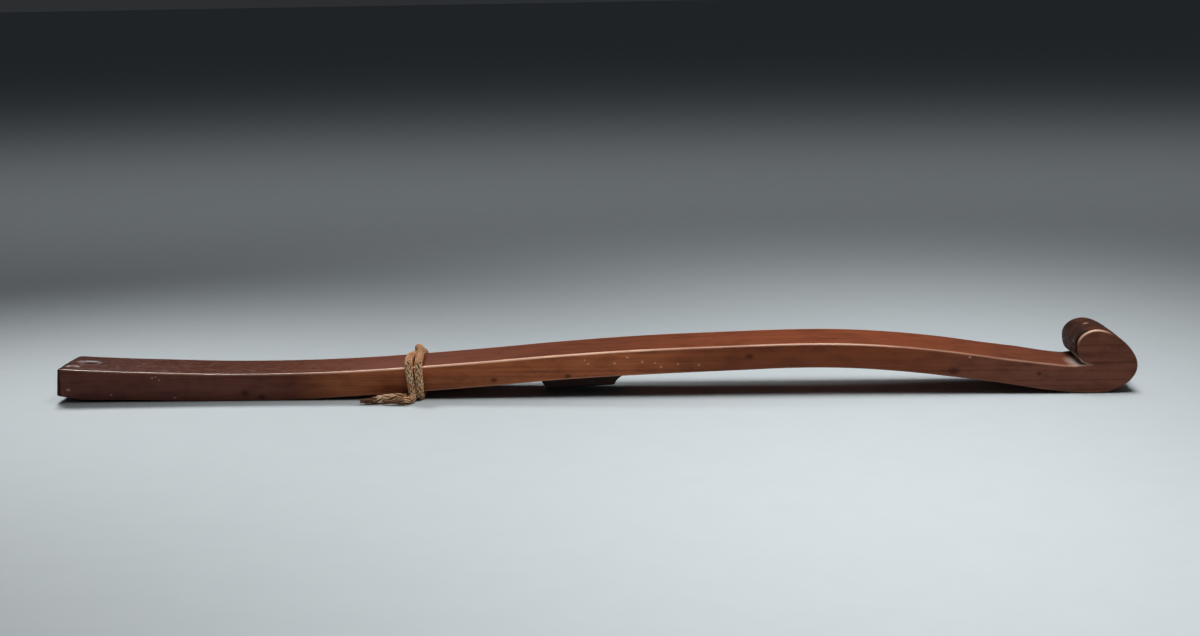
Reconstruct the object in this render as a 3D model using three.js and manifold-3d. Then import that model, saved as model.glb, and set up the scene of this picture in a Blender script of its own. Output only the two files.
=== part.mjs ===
// A plain wooden ruyi sceptre lying on its underside, with a braided cord tied round its shaft.
// Millimetres. +X runs from the tip to the scroll head, +Y across to the far side and +Z up.
// The origin is on the table, under the middle of the wood.
import * as THREE from "three";
import { mergeVertices } from "three/addons/utils/BufferGeometryUtils.js";
import Module from "manifold-3d";

const wasm = await Module();
wasm.setup();

// Driving sizes of the carved wood
const length = 450;
const width = 30;
const shaftThickness = 10.5;
const archRise = 11.85;
const headHeight = 26.65;
const headLength = 25;
const crotchDepth = 4.3;
const crotchHeight = 12.2;
const edgeRound = 0.8;
const tipRound = 1.4;
const tipLean = 1;

// The low boss under the middle of the shaft
const bossLength = 39.4;
const bossCentre = -1.8;
const bossDepth = 4.8;
const bossInset = 5.5;
const bossEndSlope = 3;
const bossCove = 8.1;
const bossRoot = 2;

// The two scooped hollows cut in the top of the tip: their length, width, depth,
// the distance of their middle from the end of the tip and from the middle of the width
const scoops = [
  { long: 12.5, wide: 8.5, deep: 0.7, fromEnd: 10.4, across: 1 },
  { long: 7, wide: 3, deep: 0.4, fromEnd: 5.9, across: -8.5 },
];

// The cord's thickness, and the fineness of its tube
const cordDiameter = 2.6;
const cordSides = 8;
const cordSteps = 80;

// Fineness of the faceted surfaces
const stationSegments = 4;
const headSegments = 10;
const bevelSegments = 3;
const scoopSegments = 28;

const tipX = -length / 2;
const headX = length / 2 - headLength;
const crotchX = headX + crotchDepth;
const shaftRun = crotchX - tipX;

// The shaft's long curve, station by station: the share of the way from the tip to the crotch,
// the height of the underside in shares of the arch's rise, and the thickness in shares of the
// shaft's own. Where the underside dips below the table it has worn flat.
const shaftStations = [
  [0.008, 0.195, 1.14],
  [0.028, 0.082, 1.218],
  [0.063, 0.07, 1.16],
  [0.105, 0.034, 1.14],
  [0.15, -0.004, 1.118],
  [0.203, -0.004, 1.1],
  [0.249, 0.045, 1.068],
  [0.298, 0.14, 1.03],
  [0.349, 0.25, 1.026],
  [0.417, 0.423, 1.017],
  [0.494, 0.65, 1.0],
  [0.572, 0.8, 1.017],
  [0.649, 0.91, 1.0],
  [0.726, 1.0, 0.976],
  [0.773, 0.973, 0.983],
  [0.822, 0.845, 1.0],
  [0.869, 0.645, 1.017],
  [0.917, 0.405, 1.0],
  [0.955, 0.173, 1.06],
  [0.977, 0.068, 1.077],
  [0.99, 0.02, 1.095],
];

// The scroll head's outline, at the four places where it runs level or upright:
// along and up, in shares of its own length and height
const scrollBack = { x: headX, z: headHeight * 0.745 };
const scrollTop = { x: headX + headLength * 0.33, z: headHeight };
const scrollFront = { x: headX + headLength, z: headHeight * 0.43 };
const scrollFoot = { x: headX + headLength * 0.3, z: 0 };

function solidFrom(geometry) {
  const plain = geometry.clone();
  plain.deleteAttribute("normal");
  plain.deleteAttribute("uv");
  const merged = mergeVertices(plain, 1e-4);
  return new wasm.Manifold(new wasm.Mesh({
    numProp: 3,
    vertProperties: new Float32Array(merged.attributes.position.array),
    triVerts: new Uint32Array(merged.index.array),
  }));
}

function geometryFrom(solid) {
  const mesh = solid.getMesh();
  const geometry = new THREE.BufferGeometry();
  geometry.setAttribute("position", new THREE.BufferAttribute(mesh.vertProperties, 3));
  geometry.setIndex(new THREE.BufferAttribute(mesh.triVerts, 1));
  geometry.computeVertexNormals();
  return geometry;
}

// The points of the shaft's underside and top, both from the tip to the crotch
const stationX = (share) => tipX + share * shaftRun;
const undersideStations = shaftStations.map(
  ([share, rise]) => [stationX(share), rise * archRise],
);
const topStations = shaftStations.map(
  ([share, rise, thick]) => [stationX(share), rise * archRise + thick * shaftThickness],
);

// The points of a smooth level curve through stations, none of them below a floor height
function curveThrough(stations, floor) {
  const curve = new THREE.CatmullRomCurve3(
    stations.map(([x, z]) => new THREE.Vector3(x, z, 0)),
    false,
    "centripetal",
  );
  return curve.getPoints(stationSegments * stations.length)
    .map((point) => new THREE.Vector2(point.x, Math.max(point.y, floor)));
}

const underside = curveThrough(undersideStations, 0);
const top = curveThrough(topStations, 0);

// Height of one of those curves at a place along the shaft
function heightAt(points, x) {
  const next = points.findIndex((point) => point.x >= x);
  const [a, b] = [points[next - 1], points[next]];
  return THREE.MathUtils.mapLinear(x, a.x, b.x, a.y, b.y);
}

// Extrudes a side profile across the width, centred, with its long edges eased
function extrudeAcross(profile, across, ease) {
  const geometry = new THREE.ExtrudeGeometry(profile, {
    depth: across - 2 * ease,
    curveSegments: headSegments,
    bevelEnabled: true,
    bevelThickness: ease,
    bevelSize: ease,
    bevelOffset: -ease,
    bevelSegments,
  });
  geometry.translate(0, 0, ease - across / 2);
  geometry.rotateX(Math.PI / 2);
  return geometry;
}

// The whole side outline, once round from the tip's underside
function bodyProfile() {
  const profile = new THREE.Shape();
  const [tipFoot] = underside;
  const [tipTop] = top;
  const footFall = (underside[0].y - underside[1].y) / (underside[1].x - underside[0].x);
  const foot = tipFoot.y + footFall * (tipFoot.x - tipX);
  profile.moveTo(tipX, foot + tipRound);
  profile.quadraticCurveTo(tipX, foot, tipFoot.x, tipFoot.y);
  underside.slice(1).forEach((point) => profile.lineTo(point.x, point.y));
  profile.lineTo(crotchX, scrollFoot.z);
  profile.lineTo(scrollFoot.x, scrollFoot.z);
  profile.bezierCurveTo(
    scrollFoot.x + headLength * 0.42, scrollFoot.z,
    scrollFront.x, scrollFront.z - headHeight * 0.22,
    scrollFront.x, scrollFront.z,
  );
  profile.bezierCurveTo(
    scrollFront.x, scrollFront.z + headHeight * 0.24,
    scrollTop.x + headLength * 0.28, scrollTop.z,
    scrollTop.x, scrollTop.z,
  );
  profile.bezierCurveTo(
    scrollTop.x - headLength * 0.17, scrollTop.z,
    scrollBack.x, scrollBack.z + headHeight * 0.155,
    scrollBack.x, scrollBack.z,
  );
  profile.bezierCurveTo(
    scrollBack.x, scrollBack.z - headHeight * 0.17,
    crotchX - crotchDepth * 0.7, crotchHeight + headHeight * 0.03,
    crotchX, crotchHeight,
  );
  top.slice(1).reverse().forEach((point) => profile.lineTo(point.x, point.y));
  profile.lineTo(tipTop.x, tipTop.y);
  profile.quadraticCurveTo(
    tipX + tipLean, tipTop.y,
    tipX + tipLean, tipTop.y - tipRound,
  );
  return profile;
}

// The boss's side outline: a steep end towards the tip and a long coved one towards the head.
// The cove's curve leans on a point near the boss's edge, close under the shaft.
function bossProfile() {
  const coveLean = { along: 0.81, under: 0.21 };
  const from = bossCentre - bossLength / 2;
  const to = bossCentre + bossLength / 2;
  const floor = (x) => heightAt(underside, x) - bossDepth;
  const profile = new THREE.Shape();
  profile.moveTo(from, heightAt(underside, from) + bossRoot);
  profile.lineTo(from, heightAt(underside, from));
  profile.lineTo(from + bossEndSlope, floor(from + bossEndSlope));
  profile.lineTo(to - bossCove, floor(to - bossCove));
  profile.quadraticCurveTo(
    to - bossCove * coveLean.along, heightAt(underside, to) - bossDepth * coveLean.under,
    to, heightAt(underside, to),
  );
  profile.lineTo(to, heightAt(underside, to) + bossRoot);
  return profile;
}

// A shallow spoon cut: the cap of a stretched ball whose middle is above the surface
function scoopSolid({ long, wide, deep, fromEnd, across }) {
  const capDepth = 0.2;
  const capRadius = Math.sqrt(1 - (1 - capDepth) ** 2);
  const x = tipX + fromEnd;
  const fall = heightAt(top, x + long / 2) - heightAt(top, x);
  const ball = new THREE.SphereGeometry(1, scoopSegments, scoopSegments / 2);
  ball.rotateX(Math.PI / 2);
  ball.translate(0, 0, 1 - capDepth);
  ball.scale(long / 2 / capRadius, wide / 2 / capRadius, deep / capDepth);
  ball.rotateY(-Math.atan2(fall, long / 2));
  ball.translate(x, across, heightAt(top, x));
  return solidFrom(ball);
}

function sceptreBody() {
  let solid = solidFrom(extrudeAcross(bodyProfile(), width, edgeRound));
  solid = solid.add(solidFrom(extrudeAcross(bossProfile(), width - 2 * bossInset, edgeRound)));
  scoops.forEach((scoop) => { solid = solid.subtract(scoopSolid(scoop)); });
  return geometryFrom(solid);
}

// The cord's middle line. From the longer tail it goes under the shaft, over its top and down the
// near face, once more round and tucked under its own first turn, then out to the shorter tail.
const cordRoute = [
  [-94.9, -23.3, 1.5],
  [-92.2, -23.1, 1.5],
  [-89.2, -22.5, 1.7],
  [-86, -21.8, 2.1],
  [-82.6, -21, 2.35],
  [-79.8, -19.7, 2.2],
  [-77.9, -18.1, 1.8],
  [-77, -16, 1.5],
  [-76.7, -12.5, 1.36],
  [-76.5, -5, 1.34],
  [-76, 5, 1.34],
  [-75.7, 13, 1.4],
  [-75.6, 16.1, 1.9],
  [-75.6, 17, 4.8],
  [-75.6, 17, 9],
  [-75.6, 16.9, 12.8],
  [-75.5, 16.2, 15.9],
  [-75.2, 13.2, 17.5],
  [-74.4, 9, 17.85],
  [-73.5, 4.5, 17.2],
  [-73.3, -0.5, 15.8],
  [-72.4, -7, 15.6],
  [-71.6, -12.8, 15.6],
  [-71.3, -16.1, 15],
  [-71.2, -17, 12],
  [-71, -17, 8],
  [-70.9, -16.9, 4.6],
  [-70.9, -16.2, 1.85],
  [-71, -12.6, 1.5],
  [-71.1, -4, 1.5],
  [-71.1, 6, 1.5],
  [-71.5, 13, 1.5],
  [-72.2, 16.4, 2.2],
  [-72.4, 17.1, 5.4],
  [-72.5, 17, 9.6],
  [-72.6, 16.9, 12.8],
  [-72.8, 16, 15],
  [-73.4, 12.5, 15.35],
  [-74.3, 9, 15.15],
  [-75.9, 5.2, 15.3],
  [-76.4, 1, 15.35],
  [-76.5, -5, 15.4],
  [-75.8, -12, 15.4],
  [-75.3, -16, 14.9],
  [-75.1, -16.9, 12],
  [-74.6, -16.8, 9],
  [-74.1, -16.9, 4.8],
  [-73.8, -17.9, 2.2],
  [-73.8, -19.8, 1.5],
  [-74.3, -22, 1.5],
  [-76, -24, 1.5],
  [-78.4, -24.8, 1.5],
  [-81.4, -24.9, 1.5],
  [-84.8, -24.6, 1.5],
];

function cordTube() {
  const section = new THREE.Shape();
  for (let side = 0; side < cordSides; side += 1) {
    const turn = -(side + 0.5) * 2 * Math.PI / cordSides;
    const place = [Math.cos(turn) * cordDiameter / 2, Math.sin(turn) * cordDiameter / 2];
    if (side === 0) section.moveTo(...place);
    else section.lineTo(...place);
  }
  const points = cordRoute.map((point) => new THREE.Vector3(...point));
  return new THREE.ExtrudeGeometry(section, {
    steps: cordSteps,
    bevelEnabled: false,
    extrudePath: new THREE.CatmullRomCurve3(points, false, "centripetal"),
  });
}

function piece(name, geometry, color, roughness) {
  const mesh = new THREE.Mesh(
    geometry,
    new THREE.MeshStandardMaterial({ color, roughness, metalness: 0 }),
  );
  mesh.name = name;
  return mesh;
}

const sceptre = new THREE.Group();
sceptre.add(piece("sceptre_body", sceptreBody(), 0x6b3c29, 0.4));
sceptre.add(piece("tied_cord", cordTube(), 0xa57d5a, 0.9));

export default sceptre;
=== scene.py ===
"""A plain carved ruyi sceptre lying on its underside, with a braided cord tied round its shaft.

Lengths are in metres. +X runs from the tip to the scroll head, +Y across to the far side and
+Z up. The origin is on the table, under the middle of the wood.
"""
import logging
import math
import random
from dataclasses import dataclass, field
from enum import Enum
from typing import Callable, Sequence, Union

import bmesh
import bpy
from mathutils import Matrix, Vector
from mathutils.kdtree import KDTree


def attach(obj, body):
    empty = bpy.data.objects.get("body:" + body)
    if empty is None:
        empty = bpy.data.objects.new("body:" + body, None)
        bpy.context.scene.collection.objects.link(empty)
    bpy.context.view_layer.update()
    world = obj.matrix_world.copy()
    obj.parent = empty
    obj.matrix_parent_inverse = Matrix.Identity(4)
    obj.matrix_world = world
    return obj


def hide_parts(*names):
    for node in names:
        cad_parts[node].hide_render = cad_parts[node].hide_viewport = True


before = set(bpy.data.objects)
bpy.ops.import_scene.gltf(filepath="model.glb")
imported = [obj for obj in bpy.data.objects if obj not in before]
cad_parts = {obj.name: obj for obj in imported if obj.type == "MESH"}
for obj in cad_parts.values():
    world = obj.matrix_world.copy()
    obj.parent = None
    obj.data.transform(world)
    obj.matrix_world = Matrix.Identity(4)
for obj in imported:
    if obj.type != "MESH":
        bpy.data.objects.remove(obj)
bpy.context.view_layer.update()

MM = 0.001
WOOD_LENGTH = 450 * MM
log = logging.getLogger("sceptre")

Number = Union[float, int, "Field"]


class Way(Enum):
    """The two ways in which a braid's strands wind."""

    RIGHT = 1
    LEFT = -1


# Materials.


class Field:
    """A number that varies over a surface. Python's operators on it add Math nodes."""

    def __init__(self, bench: "ShaderBench", socket: bpy.types.NodeSocket) -> None:
        """Wraps one output socket of a bench's material."""
        self.bench = bench
        self.socket = socket

    def maths(self, operation: str, *values: Number) -> "Field":
        """Adds one Math node.

        Args:
            operation: the Math node's own name for what it does.
            values: its inputs in order.

        Returns:
            The node's result.
        """
        node = self.bench.node(
            "ShaderNodeMath", {"operation": operation}, dict(enumerate(values))
        )
        return Field(self.bench, node.outputs[0])

    def __add__(self, other: Number) -> "Field":
        """Sum."""
        return self.maths("ADD", self, other)

    __radd__ = __add__

    def __sub__(self, other: Number) -> "Field":
        """Difference."""
        return self.maths("SUBTRACT", self, other)

    def __rsub__(self, other: Number) -> "Field":
        """Difference from a plain number."""
        return self.maths("SUBTRACT", other, self)

    def __mul__(self, other: Number) -> "Field":
        """Product."""
        return self.maths("MULTIPLY", self, other)

    __rmul__ = __mul__

    def __truediv__(self, other: Number) -> "Field":
        """Quotient."""
        return self.maths("DIVIDE", self, other)

    def __abs__(self) -> "Field":
        """Size without its sign."""
        return self.maths("ABSOLUTE", self)

    def higher(self, other: Number) -> "Field":
        """The higher of this and another number."""
        return self.maths("MAXIMUM", self, other)

    def lower(self, other: Number) -> "Field":
        """The lower of this and another number."""
        return self.maths("MINIMUM", self, other)

    def between(self, low: float, high: float) -> "Field":
        """Runs smoothly from 0 at low to 1 at high, or the other way where low is the higher."""
        node = self.bench.node(
            "ShaderNodeMapRange",
            {"interpolation_type": "SMOOTHSTEP"},
            {"Value": self, "From Min": low, "From Max": high},
        )
        return Field(self.bench, node.outputs["Result"])

    def fade(self, span: tuple[float, float]) -> "Field":
        """Runs smoothly from 0 at the first of two places in millimetres to 1 at the second."""
        return self.between(span[0] * MM, span[1] * MM)


@dataclass
class ShaderBench:
    """The node tree of one new material."""

    name: str
    material: bpy.types.Material = field(init=False)
    shader: bpy.types.Node = field(init=False)
    place: bpy.types.NodeSocket = field(init=False)

    def __post_init__(self) -> None:
        """Makes the material with its shader and output alone."""
        self.material = bpy.data.materials.new(self.name)
        self.material.use_nodes = True
        self.shader = self.material.node_tree.nodes["Principled BSDF"]
        self.place = self.node("ShaderNodeTexCoord").outputs["Object"]

    def node(
        self, kind: str, settings: dict | None = None, sockets: dict | None = None
    ) -> bpy.types.Node:
        """Adds a node of any type.

        Args:
            kind: the node's type.
            settings: its properties, set first; "stops" gives a ramp's places and colours.
            sockets: plain values, sockets or fields for its inputs, by name or number.

        Returns:
            The node.
        """
        made = self.material.node_tree.nodes.new(kind)
        for key, value in (settings or {}).items():
            if key == "stops":
                self.set_stops(made.color_ramp, value)
            else:
                setattr(made, key, value)
        for key, value in (sockets or {}).items():
            self.feed(made.inputs[key], value)
        return made

    def set_stops(self, ramp: bpy.types.ColorRamp, stops: Sequence[tuple]) -> None:
        """Sets the places and colours of a ramp.

        Args:
            ramp: the ramp, with no more stops than it is given.
            stops: place and colour of each, in order.
        """
        while len(ramp.elements) < len(stops):
            ramp.elements.new(1.0)
        for element, (place, colour) in zip(ramp.elements, stops):
            element.position = place
            element.color = (*colour, 1.0)

    def feed(self, socket: bpy.types.NodeSocket, value: object) -> None:
        """Gives an input socket its value or its link.

        Args:
            socket: the input.
            value: a plain value, or the socket or field that feeds it.
        """
        source = value.socket if isinstance(value, Field) else value
        if isinstance(source, bpy.types.NodeSocket):
            self.material.node_tree.links.new(source, socket)
        elif socket.type == "RGBA" and len(source) == 3:
            socket.default_value = (*source, 1.0)
        else:
            socket.default_value = source

    def set_constants(self, **values: float) -> None:
        """Sets the shader's sockets that are the same all over.

        Args:
            values: numbers by socket name, with underscores for its spaces.
        """
        for name, value in values.items():
            self.shader.inputs[name.replace("_", " ")].default_value = value

    def axis(self, name: str) -> Field:
        """X, Y or Z of the surface point."""
        parts = self.node("ShaderNodeSeparateXYZ", None, {0: self.place})
        return Field(self, parts.outputs[name])

    def stretched(self, scale: Sequence[float], turn: Sequence[float] = (0, 0, 0)) -> object:
        """The surface point turned and stretched, as a pattern's coordinates.

        Args:
            scale: the stretch along each axis.
            turn: degrees about each axis.

        Returns:
            The coordinates' socket.
        """
        radians = [math.radians(angle) for angle in turn]
        mapping = self.node(
            "ShaderNodeMapping", None, {"Vector": self.place, "Scale": scale, "Rotation": radians}
        )
        return mapping.outputs[0]

    def noise(
        self, place: object, scale: float = 1.0, detail: float = 3.0, rough: float = 0.5,
        twist: float = 0.0,
    ) -> Field:
        """Soft random variation.

        Args:
            place: the coordinates that it reads.
            scale: how many features there are per unit.
            detail: how many finer layers it has.
            rough: how strong the finer layers are.
            twist: how far it is distorted.

        Returns:
            A number about 0.5.
        """
        made = self.node(
            "ShaderNodeTexNoise", None,
            {"Vector": place, "Scale": scale, "Detail": detail, "Roughness": rough,
             "Distortion": twist},
        )
        return Field(self, made.outputs[0])

    def layers(self, under: object, *coats: tuple) -> object:
        """Lays colours over one another.

        Args:
            under: the lowest colour.
            coats: how much of each further colour shows, and the colour, from the lowest up.

        Returns:
            The mixed colour's socket.
        """
        for share, over in coats:
            made = self.node("ShaderNodeMix", {"data_type": "RGBA"})
            self.feed(made.inputs[0], share)
            self.feed(made.inputs[6], under)
            self.feed(made.inputs[7], over)
            under = made.outputs[2]
        return under

    def spot(
        self, centre: Sequence[float], reach: float, squeeze: Sequence[float] = (1, 1, 1)
    ) -> Field:
        """A soft round or stretched spot: 1 at its centre and 0 from its reach on.

        Args:
            centre: its middle, in millimetres.
            reach: its radius in millimetres.
            squeeze: how much narrower it is along each axis.

        Returns:
            The mask.
        """
        metres = [number * MM for number in centre]
        offset = self.node(
            "ShaderNodeVectorMath", {"operation": "SUBTRACT"}, {0: self.place, 1: metres}
        ).outputs[0]
        squeezed = self.node(
            "ShaderNodeVectorMath", {"operation": "MULTIPLY"}, {0: offset, 1: squeeze}
        ).outputs[0]
        distance = self.node("ShaderNodeVectorMath", {"operation": "LENGTH"}, {0: squeezed})
        return Field(self, distance.outputs["Value"]).fade((reach, 0.0))

    def spots(self, places: Sequence[tuple]) -> Field:
        """A mask with a soft spot at each of some places.

        Args:
            places: x, y, z and radius of each, in millimetres.

        Returns:
            The mask.
        """
        made = [self.spot(centre, reach, (0.8, 1, 1.2)) for *centre, reach in places]
        mask = made[0]
        for spot in made[1:]:
            mask = mask.higher(spot)
        return mask

    def attribute(self, name: str) -> Field:
        """A number kept on the mesh's own points."""
        return Field(self, self.node("ShaderNodeAttribute", {"attribute_name": name}).outputs["Fac"])

    def relief(self, height: Number, distance: float, strength: float) -> object:
        """The normal of a surface raised by a height field of up to the given distance."""
        bump = self.node(
            "ShaderNodeBump", None, {"Height": height, "Distance": distance, "Strength": strength}
        )
        return bump.outputs[0]


@dataclass
class WoodParts:
    """Masks of the parts of the wood: 1 on the part and 0 elsewhere, with soft edges."""

    bench: ShaderBench
    along: Field = field(init=False)
    across: Field = field(init=False)
    high: Field = field(init=False)
    flank: Field = field(init=False)
    inside: Field = field(init=False)
    end: Field = field(init=False)
    tip_top: Field = field(init=False)
    scroll: Field = field(init=False)
    back: Field = field(init=False)
    groove: Field = field(init=False)

    def __post_init__(self) -> None:
        """Works out each mask from the place on the wood."""
        self.along, self.across, self.high = (self.bench.axis(name) for name in "XYZ")
        self.flank = abs(self.across).fade((14.3, 14.9))
        self.inside = 1 - self.flank
        # The tip's end face, which the finish darkens as painted shade.
        self.end = self.along.fade((-222.0, -223.3))
        self.tip_top = self.high.fade((11, 12))
        self.scroll = self.along.fade((195, 201)) * self.high.fade((12, 15))
        self.back = self.scroll * self.inside * self.along.fade((207, 202))
        # The strip beside the scroll's near rim, which the finish darkens as painted shade.
        beside = self.across.fade((-9.6, -11.2)) * self.across.fade((-14.5, -14))
        self.groove = self.back * beside


@dataclass(frozen=True)
class WoodFinish:
    """Dark reddish hardwood, hand-rubbed to a satin polish, with worn edges under a painted
    highlight, and painted shade in hollows, on the boss and on the tip's end.
    """

    tip_tone: tuple = (0.130, 0.034, 0.017)
    middle_tone: tuple = (0.190, 0.050, 0.020)
    arch_tone: tuple = (0.240, 0.062, 0.024)
    head_tone: tuple = (0.150, 0.048, 0.026)
    # Paler copies of the wood for its sides, standing in for the light that falls on them: painted
    # light.
    side_light_tone: tuple = (0.50, 0.146, 0.055)
    tip_side_light_tone: tuple = (0.235, 0.074, 0.054)
    head_side_light_tone: tuple = (0.215, 0.074, 0.044)
    scroll_tone: tuple = (0.050, 0.021, 0.013)
    scroll_back_tone: tuple = (0.026, 0.014, 0.011)
    # Dark streak colour of the grain, also used as painted shade on the top towards the tip.
    streak_tone: tuple = (0.045, 0.012, 0.007)
    # Near black, used as painted shade.
    shade_tone: tuple = (0.010, 0.005, 0.004)
    # Pale colour of rubbed edges, also used as a painted highlight.
    wear_and_highlight_tone: tuple = (1.0, 0.58, 0.38)
    # Pale dust colour, also used as painted light in the crotch.
    dust_and_light_tone: tuple = (0.56, 0.44, 0.37)
    fleck_and_glint_tone: tuple = (0.62, 0.43, 0.35)
    roughness: float = 0.38
    # Spans of X in millimetres over which one look of the shaft fades into the next.
    # Of these, the side spans place painted light on the sides, the rubbed spans place wear with a
    # painted highlight on the edges, and the shaded span places painted shade on the top.
    tip_side_span: tuple = (-108, -150)
    head_side_span: tuple = (120, 190)
    side_light_spans: tuple = ((-128, -100), (62, 12))
    rubbed_and_highlight_spans: tuple = ((-130, -62), (52, 6))
    shaded_span: tuple = (-90, -150)
    polished_span: tuple = (-70, -130)
    # Middle, radius and squeeze of the dust in the crotch, which also carries painted light, and of
    # the painted shade, the painted highlight and the rougher patches in the tip's scoops.
    dust_and_light_spot: tuple = ((203.5, -9, 12.5), 13, (1.6, 0.75, 1.2))
    scoop_shade_spot: tuple = ((-213.9, 1.7, 14), 6.6, (1, 1.6, 0))
    scoop_highlight_spot: tuple = ((-213.9, -3.3, 14), 6.6, (1, 3.2, 0))
    dips: tuple = (((-214.6, 1, 14), 6.5, (1, 1.4, 0)), ((-219, -8.5, 14), 3.8, (1, 2, 0)))
    # Places (x, y, z) and radius of the pale flecks, the two on the scroll being painted glints, all
    # in millimetres.
    flecks_and_glints: tuple = (
        (-219.5, -15, 5.5, 1.0), (-201.4, -15, 3.2, 0.7), (-174.4, -15, 1.7, 0.8),
        (-183.6, -15, 10.3, 0.7), (-0.7, -15, 14.5, 0.7), (27.0, -15, 14.6, 0.6),
        (29.5, -15, 12.9, 0.7), (36.5, -15, 14.1, 0.6), (45.2, -15, 13.6, 0.6),
        (156.4, -15, 15.8, 0.7), (0.7, -9.5, 5.7, 0.8), (206.5, 0, 26.5, 1.4),
        (200.2, -7, 20.5, 0.9), (-2.1, -15, 16.1, 0.6), (10.3, -15, 14.6, 0.8),
        (15.6, -15, 17.1, 0.8), (21.8, -15, 15.2, 0.7), (-182.1, -15, 10.8, 0.5),
        (-180.7, -15, 9.3, 0.5),
    )
    # The same for darker patches.
    stains: tuple = (
        (-144.7, -15, 3.5, 2.6), (-137.7, -15, 1.6, 2.2), (-9.2, -15, 9.4, 2.0),
        (150.0, -15, 10.0, 3.0), (66.0, -15, 17.0, 2.4), (-40.0, -15, 8.0, 2.0),
        (184.8, -15, 8.6, 1.6),
    )

    def make(self) -> bpy.types.Material:
        """Builds the material.

        Returns:
            The wood's material.
        """
        bench = ShaderBench("carved_wood")
        parts = WoodParts(bench)
        grain = bench.noise(bench.stretched((14, 780, 780), (0, 1.2, 0.8)), 1.0, 4.0, 0.6, 0.3)
        pores = bench.noise(bench.stretched((160, 5200, 5200), (0, 1.0, 0.5)), 1.0, 2.0, 0.5)
        # Wear along the eased edges, with a painted highlight.
        worn = self.wear(parts)
        # Dust in the crotch, made pale enough to stand in for light there: dust and painted light.
        dust_and_light = bench.spot(*self.dust_and_light_spot) * parts.inside
        dust_and_light = dust_and_light * parts.high.fade((16, 14))
        colour = self.figured(bench, self.plain_colour(parts), grain, pores)
        colour = bench.layers(colour, (worn, self.wear_and_highlight_tone))
        bench.feed(bench.shader.inputs["Base Color"], self.aged(parts, colour, dust_and_light))
        rough = self.dullness(parts, pores, dust_and_light) - worn * 0.10
        bench.feed(bench.shader.inputs["Roughness"], rough)
        bench.feed(bench.shader.inputs["Coat Weight"], worn * 0.5)
        height = grain * 0.5 - pores.between(0.5, 0.8) * 0.5
        bench.feed(bench.shader.inputs["Normal"], bench.relief(height, 0.08 * MM, 0.6))
        bench.set_constants(Specular_IOR_Level=0.11, Coat_Roughness=0.36, Coat_IOR=2.3)
        return bench.material

    def plain_colour(self, parts: WoodParts) -> object:
        """The wood's colour without its grain: palest where hands held it.

        Args:
            parts: the masks of the wood's parts, in the material in the making.

        Returns:
            The wood's colour without its grain, with painted light: the sides are paler than the
            top, most in the middle of the shaft.
        """
        bench, along, flank = parts.bench, parts.along, parts.flank
        ramp = bench.node(
            "ShaderNodeValToRGB",
            {"stops": [(0.0, self.tip_tone), (0.25, self.middle_tone), (0.52, self.middle_tone),
                       (0.62, self.arch_tone), (0.80, self.arch_tone), (0.97, self.head_tone)]},
            {"Fac": along / WOOD_LENGTH + 0.5},
        )
        side_light = along.fade(self.side_light_spans[0]) * along.fade(self.side_light_spans[1])
        patchy = bench.noise(bench.stretched((22, 60, 60)), 1.0, 3.0, 0.5).between(0.25, 0.55)
        mottle = bench.noise(bench.place, 260.0, 4.0, 0.6).between(0.40, 0.62)
        return bench.layers(
            ramp.outputs[0],
            # Painted light: the sides get paler tones than the top, palest in the middle of the
            # shaft.
            (flank * along.fade(self.tip_side_span), self.tip_side_light_tone),
            (flank * along.fade(self.head_side_span), self.head_side_light_tone),
            (flank * side_light * (patchy * 0.35 + 0.65), self.side_light_tone),
            # Painted shade: the top grows darker towards the tip.
            (parts.inside * along.fade(self.shaded_span) * 0.40, self.streak_tone),
            (parts.scroll * (1 - flank * 0.75) * (mottle * 0.45 + 0.55), self.scroll_tone),
            (parts.back * (mottle * 0.5 + 0.4), self.scroll_back_tone),
        )

    def figured(self, bench: ShaderBench, colour: object, grain: Field, pores: Field) -> object:
        """Adds the figure of the wood to its colour.

        Args:
            bench: the material in the making.
            colour: the plain colour.
            grain: the noise of the long streaks.
            pores: the noise of the short fine ones.

        Returns:
            The colour's socket.
        """
        clouds = bench.noise(bench.stretched((90, 200, 200)), 1.0, 4.0, 0.6)
        figure = grain.between(0.42, 0.74) * 0.45 + clouds.between(0.42, 0.70) * 0.30
        return bench.layers(
            colour,
            (figure, self.streak_tone),
            (pores.between(0.60, 0.74) * 0.30, self.streak_tone),
            (bench.spots(self.stains) * 0.80, self.streak_tone),
        )

    def wear(self, parts: WoodParts) -> Field:
        """How far the eased edges are rubbed pale and carry a painted highlight: most along the
        shaft and the scroll's rim.

        Args:
            parts: the masks of the wood's parts, in the material in the making.

        Returns:
            The mask.
        """
        bench, along, high = parts.bench, parts.along, parts.high
        uneven = bench.noise(bench.place, 90.0, 3.0).between(0.30, 0.62) * 0.25 + 0.75
        centre = along.fade(self.rubbed_and_highlight_spans[0]) * along.fade(self.rubbed_and_highlight_spans[1])
        rim = high.fade((19.5, 24)) * along.fade((215, 209))
        eye = along.fade((196, 199)) * high.fade((13.5, 15.5))
        unworn = eye.higher(along.fade((204, 211)))
        wear = centre.higher(rim * 0.8) * 0.76 + (1 - unworn) * 0.19
        return bench.attribute("worn") * uneven * wear

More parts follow.
